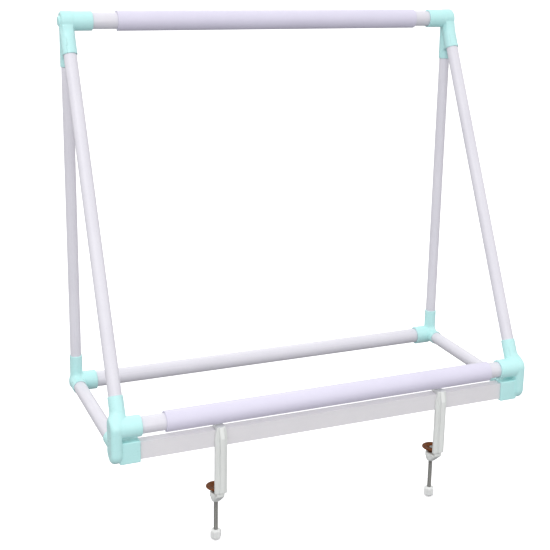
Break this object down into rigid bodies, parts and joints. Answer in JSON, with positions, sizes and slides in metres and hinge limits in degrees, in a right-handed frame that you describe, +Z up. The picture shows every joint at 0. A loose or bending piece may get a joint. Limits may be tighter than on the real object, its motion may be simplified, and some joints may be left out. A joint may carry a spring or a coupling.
{
  "type": "embroidery frame stand",
  "caption": "Table-clamped tube frame for needlework: fabric clips grip its upper and lower rails, and screw clamps hold its flat bar to a table edge.",
  "frame": {"origin": "middle of the footprint, level with the undersides of the open clamps' knobs, the lowest points; the table top's plane is 119.5 mm above it", "axes": "+X to the user's right along the rails, +Y away from the user, +Z up"},
  "size_m": [0.523, 0.2354, 0.5838],
  "materials": {
    "tube": "very pale lavender-white extruded plastic, satin gloss",
    "bar": "off-white extruded plastic, satin",
    "connector": "pale mint injection-moulded plastic, soft gloss",
    "clip": "pale lavender springy plastic, satin",
    "clamp_plastic": "white moulded plastic",
    "knob_plastic": "white moulded plastic",
    "screw_steel": "plain rolled steel thread",
    "nut_steel": "zinc-plated steel",
    "pad_metal": "brown tinted pressed metal"
  },
  "bodies": {
    "stand": {"top_rail": "tube", "front_rail": "tube", "rear_base_tube": "tube", "rear_post_left": "tube", "rear_post_right": "tube", "front_leg_left": "tube", "front_leg_right": "tube", "side_tube_left": "tube", "side_tube_right": "tube", "front_bar": "bar", "top_connector_left": "connector", "top_connector_right": "connector", "rear_corner_left": "connector", "rear_corner_right": "connector", "front_corner_left": "connector", "front_corner_right": "connector"},
    "top_clip": {"top_fabric_clip": "clip"},
    "front_clip": {"front_fabric_clip": "clip"},
    "left_clamp": {"clamp_body_left": "clamp_plastic", "clamp_nut_left": "nut_steel"},
    "left_pad": {"clamp_pad_left": "pad_metal"},
    "left_screw": {"clamp_screw_left": "screw_steel", "clamp_knob_left": "knob_plastic"},
    "right_clamp": {"clamp_body_right": "clamp_plastic", "clamp_nut_right": "nut_steel"},
    "right_pad": {"clamp_pad_right": "pad_metal"},
    "right_screw": {"clamp_screw_right": "screw_steel", "clamp_knob_right": "knob_plastic"}
  },
  "joints": [
    {"name": "top_clip_turn", "type": "hinge", "parent": "stand", "child": "top_clip", "pos_m": [0, 0.10589, 0.572], "axis": [1, 0, 0], "continuous": true},
    {"name": "front_clip_turn", "type": "hinge", "parent": "stand", "child": "front_clip", "pos_m": [0, -0.10249, 0.159], "axis": [1, 0, 0], "continuous": true},
    {"name": "left_clamp_slide", "type": "slide", "parent": "stand", "child": "left_clamp", "axis": [1, 0, 0], "range_m": [-0.07, 0.115]},
    {"name": "left_pad_lift", "type": "slide", "parent": "left_clamp", "child": "left_pad", "axis": [0, 0, 1], "range_m": [0, 0.034]},
    {"name": "left_screw_turn", "type": "hinge", "parent": "left_pad", "child": "left_screw", "pos_m": [-0.138, -0.09449, 0.03], "axis": [0, 0, 1], "range_deg": [0, 15301]},
    {"name": "right_clamp_slide", "type": "slide", "parent": "stand", "child": "right_clamp", "axis": [1, 0, 0], "range_m": [-0.115, 0.065]},
    {"name": "right_pad_lift", "type": "slide", "parent": "right_clamp", "child": "right_pad", "axis": [0, 0, 1], "range_m": [0, 0.034]},
    {"name": "right_screw_turn", "type": "hinge", "parent": "right_pad", "child": "right_screw", "pos_m": [0.143, -0.09449, 0.03], "axis": [0, 0, 1], "range_deg": [0, 15301]}
  ],
  "couplings": [
    {"joint": "left_screw_turn", "follows": "left_pad_lift", "rad_per_m": 7854},
    {"joint": "right_screw_turn", "follows": "right_pad_lift", "rad_per_m": 7854}
  ]
}
